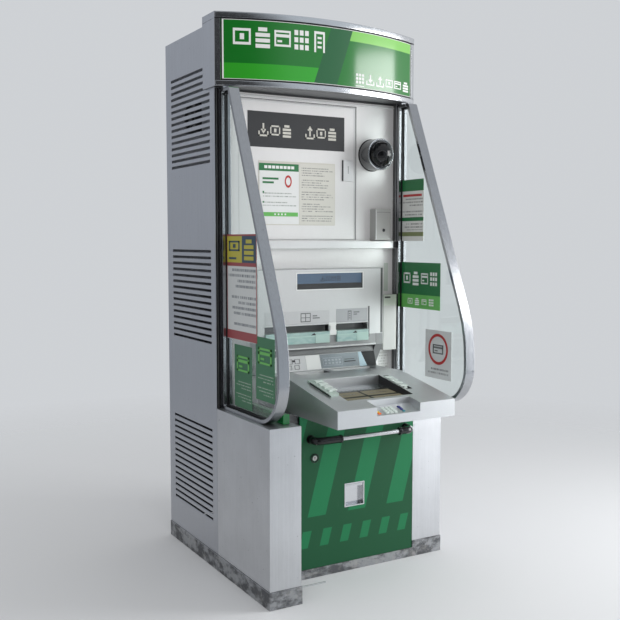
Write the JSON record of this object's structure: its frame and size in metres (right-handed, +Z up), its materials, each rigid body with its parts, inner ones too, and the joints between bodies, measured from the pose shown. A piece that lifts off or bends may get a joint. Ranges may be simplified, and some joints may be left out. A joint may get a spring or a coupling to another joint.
{
  "type": "automated teller machine",
  "caption": "Free-standing cash machine: louvred steel cabinet, bowed header sign, glass side wings, sloping console with screen and keys, card and passbook slots, hinged doors.",
  "frame": {"origin": "on the floor, under the middle of the whole machine's box", "axes": "+Z up, +X to the customer's right as the customer faces the machine, -Y out of the front towards the customer"},
  "size_m": [0.9572, 1.1216, 2.2323],
  "materials": {
    "stainless": "vertically brushed",
    "polished_steel": "polished, fine horizontal grain",
    "fascia": "fine silver-white paint",
    "dark_steel": "worn galvanised",
    "green_paint": "semi-gloss",
    "grey_paint": "satin",
    "sign_panel": "gloss",
    "glass": "clear, slightly green",
    "screen": "gloss",
    "black_plastic": "gloss",
    "white_plastic": "satin",
    "grey_plastic": "matt",
    "key_green": "satin, slightly translucent",
    "yellow_key": "satin",
    "orange_key": "satin",
    "navy_key": "satin",
    "teal_key": "satin"
  },
  "bodies": {
    "cabinet": {"plinth": "dark_steel", "left_side_panel": "stainless", "right_side_panel": "stainless", "top_panel": "stainless", "left_pier": "stainless", "right_pier": "stainless", "fascia_wall": "fascia", "header_housing": "polished_steel", "header_sign": "sign_panel", "header_lamp": "white_plastic", "wing_frame_left": "polished_steel", "wing_frame_right": "polished_steel", "wing_glass_left": "glass", "wing_glass_right": "glass", "console_body": "fascia", "console_screen": "screen", "module_housing": "fascia", "passbook_printer": "key_green", "card_reader": "key_green", "leaflet_holder": "white_plastic", "safe_body": "grey_paint", "safe_door": "grey_paint", "cash_cassettes": "grey_plastic", "note_transport": "grey_plastic", "controller": "grey_plastic", "fan_frame": "black_plastic"},
    "lower_door": {"lower_door": "green_paint", "door_handle": "polished_steel"},
    "lock": {"lock_barrel": "polished_steel"},
    "access_door": {"access_door": "fascia"},
    "access_latch": {"access_latch": "white_plastic"},
    "rear_door": {"rear_door": "stainless"},
    "camera_dome": {"camera_dome": "black_plastic"},
    "fan_rotor": {"fan_rotor": "black_plastic"},
    "passbook_shutter": {"passbook_shutter": "dark_steel"},
    "card_shutter": {"card_shutter": "dark_steel"},
    "left_key_1": {"left_key_1": "key_green"},
    "left_key_2": {"left_key_2": "key_green"},
    "left_key_3": {"left_key_3": "key_green"},
    "left_key_4": {"left_key_4": "key_green"},
    "right_key_1": {"right_key_1": "key_green"},
    "right_key_2": {"right_key_2": "key_green"},
    "right_key_3": {"right_key_3": "key_green"},
    "right_key_4": {"right_key_4": "key_green"},
    "pad_key_1": {"pad_key_1": "key_green"},
    "pad_key_2": {"pad_key_2": "key_green"},
    "pad_key_3": {"pad_key_3": "key_green"},
    "pad_key_4": {"pad_key_4": "key_green"},
    "pad_key_5": {"pad_key_5": "key_green"},
    "pad_key_6": {"pad_key_6": "key_green"},
    "pad_key_7": {"pad_key_7": "key_green"},
    "pad_key_8": {"pad_key_8": "key_green"},
    "pad_key_9": {"pad_key_9": "key_green"},
    "pad_key_10": {"pad_key_10": "key_green"},
    "pad_key_11": {"pad_key_11": "key_green"},
    "pad_key_12": {"pad_key_12": "key_green"},
    "yellow_key": {"yellow_key": "yellow_key"},
    "orange_key": {"orange_key": "orange_key"},
    "navy_key": {"navy_key": "navy_key"},
    "teal_key": {"teal_key": "teal_key"}
  },
  "joints": [
    {"name": "lower_door_swing", "type": "hinge", "parent": "cabinet", "child": "lower_door", "pos_m": [0.318, -0.22325, 0.038], "axis": [0, 0, 1], "range_deg": [0, 95]},
    {"name": "lock_turn", "type": "hinge", "parent": "lower_door", "child": "lock", "pos_m": [-0.164, -0.22325, 0.486], "axis": [0, -1, 0], "range_deg": [0, 90]},
    {"name": "access_door_swing", "type": "hinge", "parent": "cabinet", "child": "access_door", "pos_m": [-0.348, 0.06075, 1.351], "axis": [0, 0, -1], "range_deg": [0, 90]},
    {"name": "access_latch_lift", "type": "hinge", "parent": "access_door", "child": "access_latch", "pos_m": [0.16675, 0.05745, 1.692], "axis": [-1, 0, 0], "range_deg": [0, 40]},
    {"name": "rear_door_swing", "type": "hinge", "parent": "cabinet", "child": "rear_door", "pos_m": [-0.4644, 0.56075, 0.0703], "axis": [0, 0, 1], "range_deg": [0, 110]},
    {"name": "camera_pan", "type": "hinge", "parent": "cabinet", "child": "camera_dome", "pos_m": [0.292, -0.00725, 1.719], "axis": [0, 0, 1], "range_deg": [-30, 30]},
    {"name": "fan_spin", "type": "hinge", "parent": "cabinet", "child": "fan_rotor", "pos_m": [-0.4497, 0.30075, 1.86], "axis": [1, 0, 0], "continuous": true},
    {"name": "passbook_shutter_lift", "type": "slide", "parent": "cabinet", "child": "passbook_shutter", "axis": [0, 0, 1], "range_m": [0, 0.03]},
    {"name": "card_shutter_lift", "type": "slide", "parent": "cabinet", "child": "card_shutter", "axis": [0, 0, 1], "range_m": [0, 0.03]},
    {"name": "left_key_1_press", "type": "slide", "parent": "cabinet", "child": "left_key_1", "axis": [0, 0.1829, -0.9831], "range_m": [0, 0.002], "stiffness_N_per_m": 400, "springref_m": -0.001},
    {"name": "left_key_2_press", "type": "slide", "parent": "cabinet", "child": "left_key_2", "axis": [0, 0.1829, -0.9831], "range_m": [0, 0.002], "stiffness_N_per_m": 400, "springref_m": -0.001},
    {"name": "left_key_3_press", "type": "slide", "parent": "cabinet", "child": "left_key_3", "axis": [0, 0.1829, -0.9831], "range_m": [0, 0.002], "stiffness_N_per_m": 400, "springref_m": -0.001},
    {"name": "left_key_4_press", "type": "slide", "parent": "cabinet", "child": "left_key_4", "axis": [0, 0.1829, -0.9831], "range_m": [0, 0.002], "stiffness_N_per_m": 400, "springref_m": -0.001},
    {"name": "right_key_1_press", "type": "slide", "parent": "cabinet", "child": "right_key_1", "axis": [0, 0.1829, -0.9831], "range_m": [0, 0.002], "stiffness_N_per_m": 400, "springref_m": -0.001},
    {"name": "right_key_2_press", "type": "slide", "parent": "cabinet", "child": "right_key_2", "axis": [0, 0.1829, -0.9831], "range_m": [0, 0.002], "stiffness_N_per_m": 400, "springref_m": -0.001},
    {"name": "right_key_3_press", "type": "slide", "parent": "cabinet", "child": "right_key_3", "axis": [0, 0.1829, -0.9831], "range_m": [0, 0.002], "stiffness_N_per_m": 400, "springref_m": -0.001},
    {"name": "right_key_4_press", "type": "slide", "parent": "cabinet", "child": "right_key_4", "axis": [0, 0.1829, -0.9831], "range_m": [0, 0.002], "stiffness_N_per_m": 400, "springref_m": -0.001},
    {"name": "pad_key_1_press", "type": "slide", "parent": "cabinet", "child": "pad_key_1", "axis": [0, 0.2917, -0.9565], "range_m": [0, 0.002], "stiffness_N_per_m": 400, "springref_m": -0.001},
    {"name": "pad_key_2_press", "type": "slide", "parent": "cabinet", "child": "pad_key_2", "axis": [0, 0.2917, -0.9565], "range_m": [0, 0.002], "stiffness_N_per_m": 400, "springref_m": -0.001},
    {"name": "pad_key_3_press", "type": "slide", "parent": "cabinet", "child": "pad_key_3", "axis": [0, 0.2917, -0.9565], "range_m": [0, 0.002], "stiffness_N_per_m": 400, "springref_m": -0.001},
    {"name": "pad_key_4_press", "type": "slide", "parent": "cabinet", "child": "pad_key_4", "axis": [0, 0.2917, -0.9565], "range_m": [0, 0.002], "stiffness_N_per_m": 400, "springref_m": -0.001},
    {"name": "pad_key_5_press", "type": "slide", "parent": "cabinet", "child": "pad_key_5", "axis": [0, 0.2917, -0.9565], "range_m": [0, 0.002], "stiffness_N_per_m": 400, "springref_m": -0.001},
    {"name": "pad_key_6_press", "type": "slide", "parent": "cabinet", "child": "pad_key_6", "axis": [0, 0.2917, -0.9565], "range_m": [0, 0.002], "stiffness_N_per_m": 400, "springref_m": -0.001},
    {"name": "pad_key_7_press", "type": "slide", "parent": "cabinet", "child": "pad_key_7", "axis": [0, 0.2917, -0.9565], "range_m": [0, 0.002], "stiffness_N_per_m": 400, "springref_m": -0.001},
    {"name": "pad_key_8_press", "type": "slide", "parent": "cabinet", "child": "pad_key_8", "axis": [0, 0.2917, -0.9565], "range_m": [0, 0.002], "stiffness_N_per_m": 400, "springref_m": -0.001},
    {"name": "pad_key_9_press", "type": "slide", "parent": "cabinet", "child": "pad_key_9", "axis": [0, 0.2917, -0.9565], "range_m": [0, 0.002], "stiffness_N_per_m": 400, "springref_m": -0.001},
    {"name": "pad_key_10_press", "type": "slide", "parent": "cabinet", "child": "pad_key_10", "axis": [0, 0.2917, -0.9565], "range_m": [0, 0.002], "stiffness_N_per_m": 400, "springref_m": -0.001},
    {"name": "pad_key_11_press", "type": "slide", "parent": "cabinet", "child": "pad_key_11", "axis": [0, 0.2917, -0.9565], "range_m": [0, 0.002], "stiffness_N_per_m": 400, "springref_m": -0.001},
    {"name": "pad_key_12_press", "type": "slide", "parent": "cabinet", "child": "pad_key_12", "axis": [0, 0.2917, -0.9565], "range_m": [0, 0.002], "stiffness_N_per_m": 400, "springref_m": -0.001},
    {"name": "yellow_key_press", "type": "slide", "parent": "cabinet", "child": "yellow_key", "axis": [0, 0.2917, -0.9565], "range_m": [0, 0.002], "stiffness_N_per_m": 400, "springref_m": -0.001},
    {"name": "orange_key_press", "type": "slide", "parent": "cabinet", "child": "orange_key", "axis": [0, 0.2917, -0.9565], "range_m": [0, 0.002], "stiffness_N_per_m": 400, "springref_m": -0.001},
    {"name": "navy_key_press", "type": "slide", "parent": "cabinet", "child": "navy_key", "axis": [0, 0.2917, -0.9565], "range_m": [0, 0.002], "stiffness_N_per_m": 400, "springref_m": -0.001},
    {"name": "teal_key_press", "type": "slide", "parent": "cabinet", "child": "teal_key", "axis": [0, 0.2917, -0.9565], "range_m": [0, 0.002], "stiffness_N_per_m": 400, "springref_m": -0.001}
  ]
}
